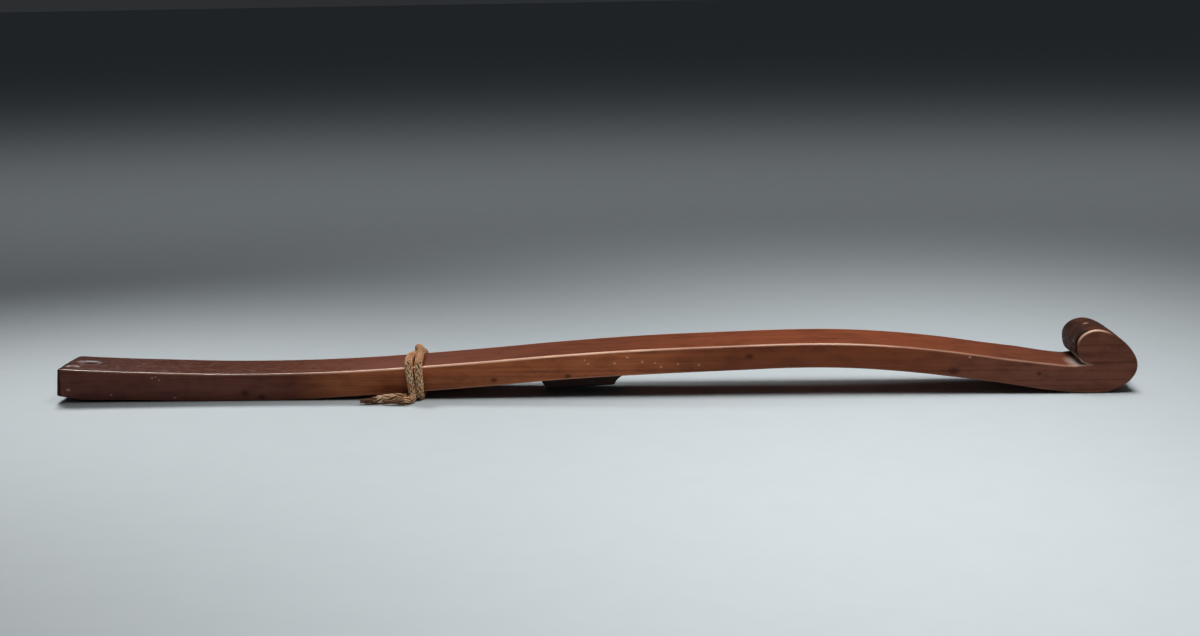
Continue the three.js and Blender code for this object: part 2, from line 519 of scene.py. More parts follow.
    def aged(self, parts: WoodParts, colour: object, dust_and_light: Field) -> object:
        """Adds dust in the crotch, paler there as painted light; painted shade in the scoops, beside
        the scroll's near rim, on the boss and on the tip's end; a painted highlight on a scoop's
        rim; flecks, a few of them painted glints; and chalky dust on the scroll's back.

        Args:
            parts: the masks of the wood's parts, in the material in the making.
            colour: the colour without them.
            dust_and_light: the mask of the dust in the crotch, which also carries painted light.

        Returns:
            The colour's socket.
        """
        bench = parts.bench
        speckle = bench.noise(bench.place, 500.0, 3.0, 0.6).between(0.35, 0.65)
        scoop_shade = bench.spot(*self.scoop_shade_spot) * parts.tip_top
        rim = bench.spot(*self.scoop_highlight_spot) * parts.tip_top
        chalky = parts.back * parts.high.fade((24, 17)) * speckle * (1 - parts.groove)
        return bench.layers(
            colour,
            # Dust in the crotch, paler as painted light there.
            ((dust_and_light * 1.7).lower(1.0) * (speckle * 0.4 + 0.6), self.dust_and_light_tone),
            # Painted shade on the scoop's far part and a painted highlight on its near rim.
            (scoop_shade * 0.85, self.shade_tone),
            (rim * 0.14, self.wear_and_highlight_tone),
            # Painted shade along the hollow beside the scroll's near rim.
            (parts.groove * 0.9, self.shade_tone),
            # Pale flecks; the ones on the scroll are painted glints.
            (bench.spots(self.flecks_and_glints) * 0.85, self.fleck_and_glint_tone),
            (chalky * 0.34, self.dust_and_light_tone),
            # Painted shade on the boss.
            (bench.attribute("boss_shade"), self.shade_tone),
            # Painted shade on the tip's end face.
            (parts.end * 0.85, self.shade_tone),
        )

    def dullness(self, parts: WoodParts, pores: Field, dust_and_light: Field) -> Field:
        """How rough the surface is before wear polished its edges.

        Args:
            parts: the masks of the wood's parts, in the material in the making.
            pores: the noise of the short fine streaks.
            dust_and_light: the mask of the dust in the crotch, which also carries painted light.

        Returns:
            The roughness.
        """
        bench = parts.bench
        rough = self.roughness + (bench.noise(bench.place, 140.0, 3.0) - 0.5) * 0.16 + dust_and_light * 0.3
        for dip in self.dips:
            rough = rough + bench.spot(*dip) * parts.tip_top * 0.85
        polished = parts.along.fade(self.polished_span) * 0.15
        return rough + pores.between(0.55, 0.75) * 0.12 - polished + parts.back * 0.3


@dataclass(frozen=True)
class CordFinish:
    """Dry tan cotton yarn, browned with age and handling, with painted shade on its low tails, its
    long tail's end, its far side and between its strands.
    """

    yarn_tone: tuple = (0.86, 0.43, 0.200)
    pale_tone: tuple = (1.0, 0.72, 0.46)
    orange_tone: tuple = (0.48, 0.20, 0.070)
    # Dark brown of soiled yarn, also used as painted shade.
    soiled_and_shade_tone: tuple = (0.140, 0.046, 0.015)

    def make(self) -> bpy.types.Material:
        """Builds the material.

        Returns:
            The cord's material.
        """
        bench = ShaderBench("braided_cord")
        along, across, high = (bench.axis(name) for name in "XYZ")
        patches = bench.noise(bench.place, 260.0, 3.0, 0.6)
        fibres = bench.noise(bench.place, 3200.0, 3.0, 0.6)
        hump = high.fade((14.5, 17))
        bulge = bench.spot((-84.5, -21, 4), 7, (1, 1, 2))
        # Painted shade on the low parts of the tails on the table and on the long tail's end.
        low = high.fade((5, 1)) * along.fade((-77, -74))
        tail_end_shade = along.fade((-86, -93))
        # Painted shade on the cord's far side.
        far_side_shade = across.fade((13.5, 16)) * along.fade((-74, -73))
        # Painted shade between the strands, less on the loose bulge.
        crevice_shade = bench.attribute("deep").between(0.14, 0.50) * (0.92 - bulge * 0.45)
        colour = bench.layers(
            self.yarn_tone,
            (patches.between(0.35, 0.70), self.pale_tone),
            (hump * 0.6, self.orange_tone),
            (bulge * 0.9, self.pale_tone),
            ((low * 0.45).higher(tail_end_shade * 0.65), self.soiled_and_shade_tone),
            (far_side_shade * 0.75, self.soiled_and_shade_tone),
            (crevice_shade, self.soiled_and_shade_tone),
            (fibres.between(0.40, 0.70) * 0.15, self.soiled_and_shade_tone),
        )
        bench.feed(bench.shader.inputs["Base Color"], colour)
        bench.feed(bench.shader.inputs["Roughness"], 0.80 + fibres * 0.15)
        bench.feed(bench.shader.inputs["Normal"], bench.relief(fibres, 0.06 * MM, 0.8))
        return bench.material


@dataclass(frozen=True)
class TableFinish:
    """Plain pale matt table top."""

    tone: tuple = (0.535, 0.585, 0.605)
    cloud_tone: tuple = (0.36, 0.41, 0.44)

    def make(self) -> bpy.types.Material:
        """Builds the material.

        Returns:
            The table's material.
        """
        bench = ShaderBench("table_top")
        clouds = bench.noise(bench.place, 60.0, 4.0, 0.6).between(0.3, 0.7)
        colour = bench.layers(self.tone, (clouds * 0.06, self.cloud_tone))
        bench.feed(bench.shader.inputs["Base Color"], colour)
        bench.set_constants(Roughness=0.75, Specular_IOR_Level=0.2)
        return bench.material


# Working on meshes.


def clear_selection() -> None:
    """Leaves object mode with nothing selected."""
    if bpy.context.object and bpy.context.object.mode != "OBJECT":
        bpy.ops.object.mode_set(mode="OBJECT")
    bpy.ops.object.select_all(action="DESELECT")


def make_active(piece: bpy.types.Object) -> None:
    """Selects one object alone and makes it the active one.

    Args:
        piece: the object.
    """
    clear_selection()
    piece.select_set(True)
    bpy.context.view_layer.objects.active = piece


def select_elements(piece: bpy.types.Object, kind: str, test: Callable) -> None:
    """Selects the edges or faces that pass a test, in edit mode.

    Args:
        piece: the object being edited.
        kind: "edges" or "faces".
        test: says whether an element is selected.
    """
    bpy.ops.mesh.select_mode(type={"edges": "EDGE", "faces": "FACE"}[kind])
    bpy.ops.mesh.select_all(action="DESELECT")
    mesh = bmesh.from_edit_mesh(piece.data)
    for element in getattr(mesh, kind):
        if test(element):
            element.select_set(True)
    mesh.select_flush(True)
    bmesh.update_edit_mesh(piece.data)


def slab_from_outline(
    name: str, outline: Sequence[tuple[float, float]], rows: Sequence[float], ease: float
) -> bpy.types.Object:
    """Cuts a slab to a side outline and eases the edges of both its flat sides.

    Args:
        name: the object's name.
        outline: points (x, z) once round.
        rows: Y of each row of points across the slab, the first and last being its flat sides.
        ease: radius of the eased edges.

    Returns:
        The closed object.
    """
    clear_selection()
    bpy.ops.mesh.primitive_circle_add(vertices=len(outline), radius=10 * MM, fill_type="NGON")
    piece = bpy.context.object
    piece.name = name
    for vertex, (x, z) in zip(piece.data.vertices, outline):
        vertex.co = (x, rows[0], z)
    bpy.ops.object.mode_set(mode="EDIT")
    bpy.ops.mesh.select_all(action="SELECT")
    for here, there in zip(rows, rows[1:]):
        bpy.ops.mesh.extrude_region_move(
            TRANSFORM_OT_translate={"value": (0.0, there - here, 0.0)}
        )
    select_elements(piece, "faces", lambda face: True)
    bpy.ops.mesh.normals_make_consistent(inside=False)
    flats = (rows[0], rows[-1])

    def on_flat(edge: bmesh.types.BMEdge) -> bool:
        """Whether both ends of an edge lie on the same flat side."""
        ends = [vertex.co.y for vertex in edge.verts]
        return any(max(abs(end - flat) for end in ends) < 0.001 * MM for flat in flats)

    select_elements(piece, "edges", on_flat)
    bpy.ops.mesh.bevel(offset=ease, segments=4, profile=0.5, clamp_overlap=False)
    bpy.ops.object.mode_set(mode="OBJECT")
    return piece


def carve(piece: bpy.types.Object, tool: bpy.types.Object, operation: str) -> None:
    """Joins a solid to a piece or cuts it away, and removes the solid.

    Args:
        piece: the object that is changed.
        tool: the solid.
        operation: "UNION" or "DIFFERENCE".
    """
    make_active(piece)
    modifier = piece.modifiers.new("Boolean", "BOOLEAN")
    modifier.operation = operation
    modifier.object = tool
    modifier.solver = "EXACT"
    bpy.ops.object.modifier_apply(modifier=modifier.name)
    bpy.data.objects.remove(tool)


def catmull_rom(points: Sequence[Vector], steps: int) -> list[Vector]:
    """A smooth line through points, by the centripetal rule.

    Args:
        points: what it passes through, at least three.
        steps: how many steps it takes between neighbours.

    Returns:
        The line's points, ends included.
    """
    first = points[0] * 2 - points[1]
    last = points[-1] * 2 - points[-2]
    guide = [first, *points, last]
    line = []
    for a, b, c, d in zip(guide, guide[1:], guide[2:], guide[3:]):
        knots = [0.0]
        for here, there in ((a, b), (b, c), (c, d)):
            knots.append(knots[-1] + math.sqrt((there - here).length))
        t0, t1, t2, t3 = knots
        for step in range(steps):
            t = t1 + (t2 - t1) * step / steps
            ab = a * ((t1 - t) / (t1 - t0)) + b * ((t - t0) / (t1 - t0))
            bc = b * ((t2 - t) / (t2 - t1)) + c * ((t - t1) / (t2 - t1))
            cd = c * ((t3 - t) / (t3 - t2)) + d * ((t - t2) / (t3 - t2))
            abc = ab * ((t2 - t) / (t2 - t0)) + bc * ((t - t0) / (t2 - t0))
            bcd = bc * ((t3 - t) / (t3 - t1)) + cd * ((t - t1) / (t3 - t1))
            line.append(abc * ((t2 - t) / (t2 - t1)) + bcd * ((t - t1) / (t2 - t1)))
    line.append(points[-1].copy())
    return line


def height_on(line: Sequence[Vector], x: float) -> float:
    """Height of a line at a place along it.

    Args:
        line: points (x, 0, z) that run along X.
        x: the place.

    Returns:
        Z there, or at the line's end past it.
    """
    for here, there in zip(line, line[1:]):
        if there.x >= x:
            return here.z + (there.z - here.z) * (x - here.x) / (there.x - here.x)
    return line[-1].z


def bezier(corners: Sequence[tuple[float, float]], steps: int) -> list[tuple[float, float]]:
    """Points of a curve from the first of its corners to the last.

    Args:
        corners: its start, its handles and its end.
        steps: how many points it has.

    Returns:
        The points, without the start.
    """
    made = []
    for step in range(1, steps + 1):
        share, points = step / steps, list(corners)
        while len(points) > 1:
            points = [
                (a[0] + (b[0] - a[0]) * share, a[1] + (b[1] - a[1]) * share)
                for a, b in zip(points, points[1:])
            ]
        made.append(points[0])
    return made


# The carved wood.


@dataclass(frozen=True)
class Scoop:
    """One shallow hollow in the top of the tip."""

    long: float
    wide: float
    deep: float
    from_end: float
    across: float


@dataclass
class CarvedWood:
    """The sceptre's one piece of wood: long curved shaft, low boss under it and scroll head."""

    length: float = WOOD_LENGTH
    width: float = 30 * MM
    thickness: float = 10.5 * MM
    arch_rise: float = 11.85 * MM
    head_height: float = 26.65 * MM
    head_length: float = 25 * MM
    crotch_depth: float = 4.3 * MM
    crotch_height: float = 12.2 * MM
    edge_round: float = 0.85 * MM
    tip_round: float = 1.4 * MM
    tip_lean: float = 1 * MM
    corner_round: float = 1.8 * MM
    boss_length: float = 39.4 * MM
    boss_centre: float = -1.8 * MM
    boss_cove: float = 8.1 * MM
    boss_depth: float = 4.8 * MM
    boss_inset: float = 5.5 * MM
    boss_slope: float = 3 * MM
    groove_reach: float = 4 * MM
    groove_depth: float = 1.15 * MM
    twist: float = 0.5 * MM
    head_tilt: float = 0.45 * MM
    station_pitch: float = 1.6 * MM
    rows_across: int = 14
    finish: WoodFinish = WoodFinish()
    scoops: tuple = (
        Scoop(12.5 * MM, 8.5 * MM, 0.7 * MM, 10.4 * MM, 1 * MM),
        Scoop(7 * MM, 3 * MM, 0.4 * MM, 5.9 * MM, -8.5 * MM),
    )
    # Share of the way from the tip to the crotch, height of the underside in shares of the
    # arch's rise, and thickness in shares of the shaft's own.
    stations: tuple = (
        (0.008, 0.195, 1.14), (0.028, 0.082, 1.218), (0.063, 0.07, 1.16), (0.105, 0.034, 1.14),
        (0.15, -0.004, 1.118), (0.203, -0.004, 1.1), (0.249, 0.045, 1.068), (0.298, 0.14, 1.03),
        (0.349, 0.25, 1.026), (0.417, 0.423, 1.017), (0.494, 0.65, 1.0), (0.572, 0.8, 1.017),
        (0.649, 0.91, 1.0), (0.726, 1.0, 0.976), (0.773, 0.973, 0.983), (0.822, 0.845, 1.0),
        (0.869, 0.645, 1.017), (0.917, 0.405, 1.0), (0.955, 0.173, 1.06), (0.977, 0.068, 1.077),
        (0.99, 0.02, 1.095),
    )
    # The scroll's outline from its foot on the table round to its back, in shares of the
    # head's length and height: each curve's two handles, its end and its number of points.
    scroll_foot: float = 0.3
    scroll_curves: tuple = (
        ((0.72, 0.0), (1.0, 0.21), (1.0, 0.43), 22),
        ((1.0, 0.67), (0.61, 1.0), (0.33, 1.0), 22),
        ((0.16, 1.0), (0.0, 0.9), (0.0, 0.745), 16),
    )
    scroll_tuck: tuple = (0.0, 0.575)
    scroll_axis: tuple = (0.42, 0.62)
    tip_x: float = field(init=False)
    head_x: float = field(init=False)
    crotch_x: float = field(init=False)
    underside: list[Vector] = field(init=False)
    top: list[Vector] = field(init=False)

    def __post_init__(self) -> None:
        """Works out the places that follow from the sizes."""
        self.tip_x = -self.length / 2
        self.head_x = self.length / 2 - self.head_length
        self.crotch_x = self.head_x + self.crotch_depth
        self.underside = self.long_line(0.0)
        self.top = self.long_line(self.thickness)

    def long_line(self, thickness: float) -> list[Vector]:
        """The smooth line of the shaft's underside, or of its top.

        Args:
            thickness: the shaft's own thickness for the top, or 0 for the underside.

        Returns:
            The line's points.
        """
        run = self.crotch_x - self.tip_x
        return catmull_rom(
            [Vector((self.tip_x + share * run, 0, rise * self.arch_rise + thick * thickness))
             for share, rise, thick in self.stations], 12,
        )

    def floor_at(self, x: float) -> float:
        """Height of the shaft's underside at a place along it."""
        return max(height_on(self.underside, x), 0.0)

    def top_at(self, x: float) -> float:
        """Height of the shaft's top at a place along it."""
        return height_on(self.top, x)

    def on_head(self, along: float, up: float) -> tuple[float, float]:
        """A place (x, z) on the head, from shares of its length and height."""
        return self.head_x + along * self.head_length, up * self.head_height

    def outline(self) -> list[tuple[float, float]]:
        """The whole side outline.

        Returns:
            Points (x, z) once round, from the tip's underside.
        """
        first, last = self.underside[0].x, self.underside[-1].x
        count = round((last - first) / self.station_pitch)
        places = [first + (last - first) * step / count for step in range(count + 1)]
        low, high = self.floor_at(first), self.top_at(first)
        fall = (low - self.floor_at(places[1])) / (places[1] - first)
        foot_corner = (self.tip_x, low + fall * (first - self.tip_x))
        brow_x = self.tip_x + self.tip_lean
        points = bezier([(self.tip_x, foot_corner[1] + self.tip_round), foot_corner, foot_corner,
                         (first, low)], 6)
        points += [(x, self.floor_at(x)) for x in places[1:]]
        points += [(self.crotch_x, 0.0), self.on_head(self.scroll_foot, 0.0)]
        for *corners, steps in self.scroll_curves:
            points += bezier([points[-1], *(self.on_head(*corner) for corner in corners)], steps)
        under_back = (self.crotch_x - 0.7 * self.crotch_depth,
                      self.crotch_height + 0.03 * self.head_height)
        points += bezier([points[-1], self.on_head(*self.scroll_tuck), under_back,
                          (self.crotch_x, self.crotch_height)], 12)
        points += [(x, self.top_at(x)) for x in reversed(places)]
        points += bezier([(first, high), (brow_x, high), (brow_x, high),
                          (brow_x, high - self.tip_round)], 6)
        return points

    def rows(self) -> list[float]:
        """The rows of points across the width, with a narrow one beside each edge.

        Returns:
            Y of each row.
        """
        half, steps = self.width / 2, self.rows_across
        inner = half - self.edge_round * 1.5
        return [-half, *(-inner + 2 * inner * step / steps for step in range(steps + 1)), half]

    def boss(self) -> bpy.types.Object:
        """The low boss: a steep end towards the tip and a coved one towards the head.

        Returns:
            The solid, which reaches a little into the shaft.
        """
        start = self.boss_centre - self.boss_length / 2
        end = self.boss_centre + self.boss_length / 2
        root = 2 * MM
        shelf = [(x, self.floor_at(x) - self.boss_depth)
                 for x in (start + self.boss_slope, end - self.boss_cove)]
        lean = (end - 0.81 * self.boss_cove, self.floor_at(end) - 0.21 * self.boss_depth)
        outline = [(start, self.floor_at(start) + root), (start, self.floor_at(start)), *shelf]
        outline += bezier([shelf[1], lean, (end, self.floor_at(end))], 12)
        outline += [(end, self.floor_at(end) + root)]
        reach = self.width / 2 - self.boss_inset
        return slab_from_outline("boss", outline, [-reach, reach], self.edge_round)

    def scoop(self, cut: Scoop) -> bpy.types.Object:
        """The stretched ball that cuts one hollow, tipped to the slope of the top.

        Args:
            cut: the hollow.

        Returns:
            The ball.
        """
        # Only a cap of the ball cuts, its height given in shares of the radius.
        cap = 0.2
        spread = math.sqrt(1 - (1 - cap) ** 2)
        x = self.tip_x + cut.from_end
        fall = self.top_at(x + cut.long / 2) - self.top_at(x)
        clear_selection()
        bpy.ops.mesh.primitive_uv_sphere_add(segments=48, ring_count=32, radius=1.0)
        ball = bpy.context.object
        bpy.ops.transform.translate(value=(0, 0, 1 - cap))
        bpy.ops.object.transform_apply(location=True, rotation=False, scale=False)
        ball.scale = (cut.long / 2 / spread, cut.wide / 2 / spread, cut.deep / cap)
        bpy.ops.object.transform_apply(location=False, rotation=False, scale=True)
        ball.rotation_euler = (0, -math.atan2(fall, cut.long / 2), 0)
        ball.location = (x, cut.across, self.top_at(x))
        bpy.ops.object.transform_apply(location=True, rotation=True, scale=False)
        return ball

    def build(self) -> bpy.types.Object:
        """Makes the wood and dresses it.

        Returns:
            The finished piece.
        """
        wood = slab_from_outline("carved_wood", self.outline(), self.rows(), self.edge_round)
        self.round_tip_corners(wood)
        self.twist_by_hand(wood)
        self.hollow_scroll(wood)
        carve(wood, self.boss(), "UNION")
        for cut in self.scoops:
            carve(wood, self.scoop(cut), "DIFFERENCE")
        self.mark_wear(wood)
        make_active(wood)
        bpy.ops.object.shade_smooth_by_angle(angle=math.radians(32))
        wood.data.materials.clear()
        wood.data.materials.append(self.finish.make())
        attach(wood, "root")
        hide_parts("sceptre_body")
        return wood

    def round_tip_corners(self, wood: bpy.types.Object) -> None:
        """Rounds the two upright corners of the tip's end further than the other edges.

        Args:
            wood: the wood in the making.
        """
        reach, half = self.corner_round, self.width / 2
        # The end leans back by tip_lean from this height over this rise.
        low, rise = 2 * MM, 12 * MM
        make_active(wood)
        bpy.ops.object.mode_set(mode="EDIT")
        for turn in (25, 45, 65, 90):
            select_elements(wood, "faces", lambda face: True)
            depth = reach * (1 - math.cos(math.radians(turn)))
            bpy.ops.mesh.bisect(
                plane_co=(self.tip_x + depth, 0, low), plane_no=(rise, 0, -self.tip_lean)
            )
        bpy.ops.object.mode_set(mode="OBJECT")
        for vertex in wood.data.vertices:
            place = vertex.co
            lean = self.tip_lean * min(1.0, (place.z - low) / rise)
            inward = reach - (place.x - self.tip_x - lean)
            outward = reach - (half - abs(place.y))
            distance = math.hypot(inward, outward)
            if inward > 0 and outward > 0 and distance > reach:
                place.x += inward * (1 - reach / distance)
                place.y -= math.copysign(outward * (1 - reach / distance), place.y)

    def twist_by_hand(self, wood: bpy.types.Object) -> None:
        """Tips the top a little, as the carver's hand left it: low at the far side near the tip
        and on the head, and high there from the middle on.

        Args:
            wood: the wood in the making.
        """
        for vertex in wood.data.vertices:
            place = vertex.co
            share = place.x / (self.length / 2)
            lift = self.twist * math.tanh(3 * (share + 0.12)) - 0.05 * MM
            into_head = min(1.0, max(0.0, (share - 0.80) / 0.08))
            lift += (-self.head_tilt - lift) * into_head
            high = min(1.0, max(0.0, (place.z - self.floor_at(place.x)) / self.thickness))
            place.z += lift * high * max(0.0, place.y / (self.width / 2))

    def hollow_scroll(self, wood: bpy.types.Object) -> None:
        """Hollows the scroll's back a little beside its near side, which leaves a thin rim.

        Args:
            wood: the wood in the making.
        """
        axis_x, axis_z = self.on_head(*self.scroll_axis)
        for vertex in wood.data.vertices:
            place = vertex.co
            beside = place.y + self.width / 2
            behind = self.head_x - 0.1 * MM < place.x < axis_x + 2 * MM
            above = place.z > self.crotch_height + 0.8 * MM
            if behind and above and self.edge_round + 0.05 * MM < beside < self.groove_reach:
                inward = Vector((axis_x - place.x, 0, axis_z - place.z)).normalized()
                vertex.co = place + inward * (self.groove_depth - 0.2 * beside)

    def mark_wear(self, wood: bpy.types.Object) -> None:
        """Marks the eased long edges, rubbed paler and given a painted highlight, and the boss,
        which is given painted shade.

        Args:
            wood: the wood in the making.
        """
        half, hair = self.width / 2, 0.02 * MM
        inner = half - self.edge_round
        boss_reach = half - self.boss_inset + 0.1 * MM
        edges, shade_on_boss = [], []
        for vertex in wood.data.vertices:
            place = vertex.co
            height = place.z - self.floor_at(place.x)
            on_edge = inner - hair < abs(place.y) < half - hair
            on_edge = on_edge and place.x > self.tip_x + 2.5 * MM
            rubbed = 1.0 if height > 3 * MM else 0.2
            edges.append(rubbed if on_edge else 0.0)
            # The boss is marked for painted shade.
            beside = abs(place.x - self.boss_centre) < self.boss_length / 2 + 0.1 * MM
            on_boss = beside and height < hair and abs(place.y) < boss_reach
            shade_on_boss.append(0.93 if on_boss else 0.0)
        for name, values in (("worn", edges), ("boss_shade", shade_on_boss)):
            wood.data.attributes.new(name, "FLOAT", "POINT").data.foreach_set("value", values)


# The cord.


@dataclass
class BraidedCord:
    """The cotton cord: twice round the shaft, tucked under its own first turn."""

    diameter: float = 3.4 * MM
    strands_each_way: int = 4
    pitch: float = 11.6 * MM
    braid_radius: float = 1.13 * MM
    weave_depth: float = 0.27 * MM
    yarn_radius: float = 0.36 * MM
    core_radius: float = 0.80 * MM
    ply_turn: float = 0.29
    # How far from its two ends the braid works loose, and how much of its turn it loses there.
    loose_tail: float = 20 * MM
    loose_short_tail: float = 12 * MM
    slackening: float = 0.45
    step: float = 0.34 * MM
    seed: int = 7
    finish: CordFinish = CordFinish()
    # The middle line in millimetres, from the longer tail's end to the shorter one's.
    route: tuple = (
        (-94.9, -23.3, 1.5), (-92.2, -23.1, 1.5), (-89.2, -22.5, 1.7), (-86, -21.8, 2.1),
        (-82.6, -21, 2.35), (-79.8, -19.7, 2.2), (-77.9, -18.1, 1.8), (-77, -16, 1.5),
        (-76.7, -12.5, 1.36), (-76.5, -5, 1.34), (-76, 5, 1.34), (-75.7, 13, 1.4),
        (-75.6, 16.1, 1.9), (-75.6, 17, 4.8), (-75.6, 17, 9), (-75.6, 16.9, 12.4),
        (-75.4, 16.2, 15.1), (-74.8, 13.2, 16.3), (-73.7, 9, 16.7), (-72.8, 4.5, 16.4),
        (-72.5, -0.5, 15.7), (-72.0, -7, 15.6), (-71.5, -12.8, 15.6), (-71.3, -16.1, 15),
        (-71.2, -17, 12), (-71, -17, 8), (-70.9, -16.9, 4.6), (-70.9, -16.2, 1.85),
        (-71, -12.6, 1.5), (-71.1, -4, 1.5), (-71.1, 6, 1.5), (-71.5, 13, 1.5),
        (-72.2, 16.4, 2.2), (-72.4, 17.1, 5.4), (-72.5, 17, 9.6), (-72.7, 16.7, 12.2),
        (-73, 15.7, 13.8), (-73.6, 12.5, 14.3), (-74.5, 9, 14.3), (-75.9, 5.2, 14.8),
        (-76.4, 1, 15.3), (-76.5, -5, 15.4), (-75.8, -12, 15.4), (-75.3, -16, 14.9),
        (-75.1, -16.9, 12), (-74.6, -16.8, 9), (-74.1, -16.9, 4.8), (-73.8, -17.9, 2.2),
        (-73.8, -19.8, 1.5), (-74.3, -22, 1.5), (-76, -24, 1.5), (-78.4, -24.8, 1.5),
        (-81.4, -24.9, 1.5), (-84.8, -24.6, 1.5),
    )
    length: float = field(init=False)
    line: list[Vector] = field(init=False)

    def __post_init__(self) -> None:
        """Lays the middle line at even steps and measures it."""
        smooth = catmull_rom([Vector(point) * MM for point in self.route], 16)
        walked = [0.0]
        for here, there in zip(smooth, smooth[1:]):
            walked.append(walked[-1] + (there - here).length)
        self.length = walked[-1]
        count = round(self.length / self.step)
        self.line, index = [], 0
        for number in range(count + 1):
            want = self.length * number / count
            while index < len(smooth) - 2 and walked[index + 1] < want:
                index += 1
            share = (want - walked[index]) / (walked[index + 1] - walked[index])
            self.line.append(smooth[index].lerp(smooth[index + 1], share))

    def frames(self, line: Sequence[Vector]) -> list[tuple[Vector, Vector]]:
        """Directions square to a line, carried along it without twist.

        Args:
            line: the line's points.

        Returns:
            Two directions at each point.
        """
        made = []
        side = Vector((0, 0, 1))
        for index in range(len(line)):
            ahead = line[min(index + 1, len(line) - 1)] - line[max(index - 1, 0)]
            ahead.normalize()
            side = (side - ahead * side.dot(ahead)).normalized()
            made.append((side.copy(), ahead.cross(side)))
        return made

    def tube(self, mesh: bmesh.types.BMesh, centres: Sequence[Vector], radii: Sequence[float],
             sides: int) -> None:
        """Adds a closed tube round a line to a mesh.

        Args:
            mesh: the mesh in the making.
            centres: the line's points.
            radii: the tube's radius at each.
            sides: how many faces it has round it.
        """
        turns = [2 * math.pi * number / sides for number in range(sides)]
        rings = [
            [mesh.verts.new(centre + (side * math.cos(turn) + other * math.sin(turn)) * radius)
             for turn in turns]
            for centre, radius, (side, other) in zip(centres, radii, self.frames(centres))
        ]
        for here, there in zip(rings, rings[1:]):
            for number in range(sides):
                after = (number + 1) % sides
                mesh.faces.new((here[number], here[after], there[after], there[number]))
        mesh.faces.new(list(reversed(rings[0])))
        mesh.faces.new(rings[-1])

    def build(self, wood: CarvedWood) -> bpy.types.Object:
        """Makes the braid round its core, fits it to the wood and the table, and dresses it.

        Args:
            wood: what it is tied round.

        Returns:
            The finished piece.
        """
        frames = self.frames(self.line)
        mesh = bmesh.new()
        draw = random.Random(self.seed)
        last = len(self.line) - 1
        core = [self.core_radius * self.thinness(index * self.length / last)
                for index in range(last + 1)]
        self.tube(mesh, self.line, core, 12)
        for way in Way:
            for strand in range(self.strands_each_way):
                for ply in (-1, 1):
                    self.yarn(mesh, frames, way, strand, ply, draw.uniform(-1, 1))
        data = bpy.data.meshes.new("braided_cord")
        mesh.to_mesh(data)
        mesh.free()
        cord = bpy.data.objects.new("braided_cord", data)
        bpy.context.scene.collection.objects.link(cord)
        self.mark_depth(cord)
        self.settle(cord, wood)
        make_active(cord)
        bpy.ops.object.shade_smooth()
        data.materials.append(self.finish.make())
        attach(cord, "root")
        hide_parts("tied_cord")
        log.info("cord length %.1f mm", self.length / MM)
        return cord

    def yarn(self, mesh: bmesh.types.BMesh, frames: Sequence[tuple], way: Way, strand: int,
             ply: int, astray: float) -> None:
        """Adds one yarn of a strand, winding round the core over and under the others.

        Args:
            mesh: the mesh in the making.
            frames: the directions square to the middle line.
            way: the way it winds.
            strand: which strand it belongs to.
            ply: -1 or 1, on which side of its strand it lies.
            astray: how far it strays where the tails thin out, from -1 to 1.
        """
        count = len(self.line)
        start = 2 * math.pi * strand / self.strands_each_way
        centres, radii = [], []
        for index, (side, other) in enumerate(frames):
            walked = index * self.length / (count - 1)
            short_tail = max(0.0, walked - self.length + self.loose_short_tail)
            slack = min(walked, self.loose_tail) + short_tail
            turn = 2 * math.pi * (walked - slack * self.slackening) / self.pitch
            thin = self.thinness(walked)
            angle = start + way.value * turn + self.ply_turn * ply + (1 - thin) * 0.5 * astray
            lift = way.value * math.cos(self.strands_each_way * turn) * self.weave_depth
            outward = side * math.cos(angle) + other * math.sin(angle)
            centres.append(self.line[index] + outward * (self.braid_radius + lift) * thin)
            radii.append(self.yarn_radius * (0.35 + 0.65 * thin))
        self.tube(mesh, centres, radii, 6)

    def thinness(self, walked: float) -> float:
        """How thick the braid is at a place: both tails thin out to worn tufts, and the longer
        one swells where it has worked loose.

        Args:
            walked: how far along the cord the place is.

        Returns:
            Its share of the full thickness.
        """
        left = self.length - walked
        swelling = 0.24 * math.exp(-((walked - 11 * MM) / (4.6 * MM)) ** 2)
        long_tail = 0.42 + 0.60 * min(1.0, walked / (11 * MM)) ** 0.8 + swelling
        short_tail = 0.34 + 0.66 * min(1.0, left / (8.5 * MM)) ** 2
        return min(long_tail, short_tail, 1.0 + swelling)

    def mark_depth(self, cord: bpy.types.Object) -> None:
        """Marks how deep each point lies in the braid, which the finish darkens as painted shade
        between the strands.

        Args:
            cord: the cord in the making.
        """
        tree = KDTree(len(self.line))
        for index, point in enumerate(self.line):
            tree.insert(point, index)
        tree.balance()
        outer = self.braid_radius + self.weave_depth + self.yarn_radius
        values = []
        for vertex in cord.data.vertices:
            distance = tree.find(vertex.co)[2]
            share = (outer - distance) / (outer - self.core_radius)
            values.append(min(1.0, max(0.0, share)))
        deep = cord.data.attributes.new("deep", "FLOAT", "POINT")
        deep.data.foreach_set("value", values)

    def settle(self, cord: bpy.types.Object, wood: CarvedWood) -> None:
        """Presses the cord flat where it lies on the table or against the wood.

        Args:
            cord: the cord in the making.
            wood: what it is tied round.
        """
        gap, above_table = 0.04 * MM, 0.05 * MM
        half = wood.width / 2 + gap
        for vertex in cord.data.vertices:
            place = vertex.co
            place.z = max(place.z, above_table)
            low = wood.floor_at(place.x) - gap
            high = wood.top_at(place.x) + gap
            if abs(place.y) < half and low < place.z < high:
                to_side = half - abs(place.y)
                if place.z - low < min(to_side, high - place.z) and place.z < low + 1 * MM:
                    place.z = low
                elif high - place.z < to_side:
                    place.z = high
                else:
                    place.y = math.copysign(half, place.y)


# The stage.


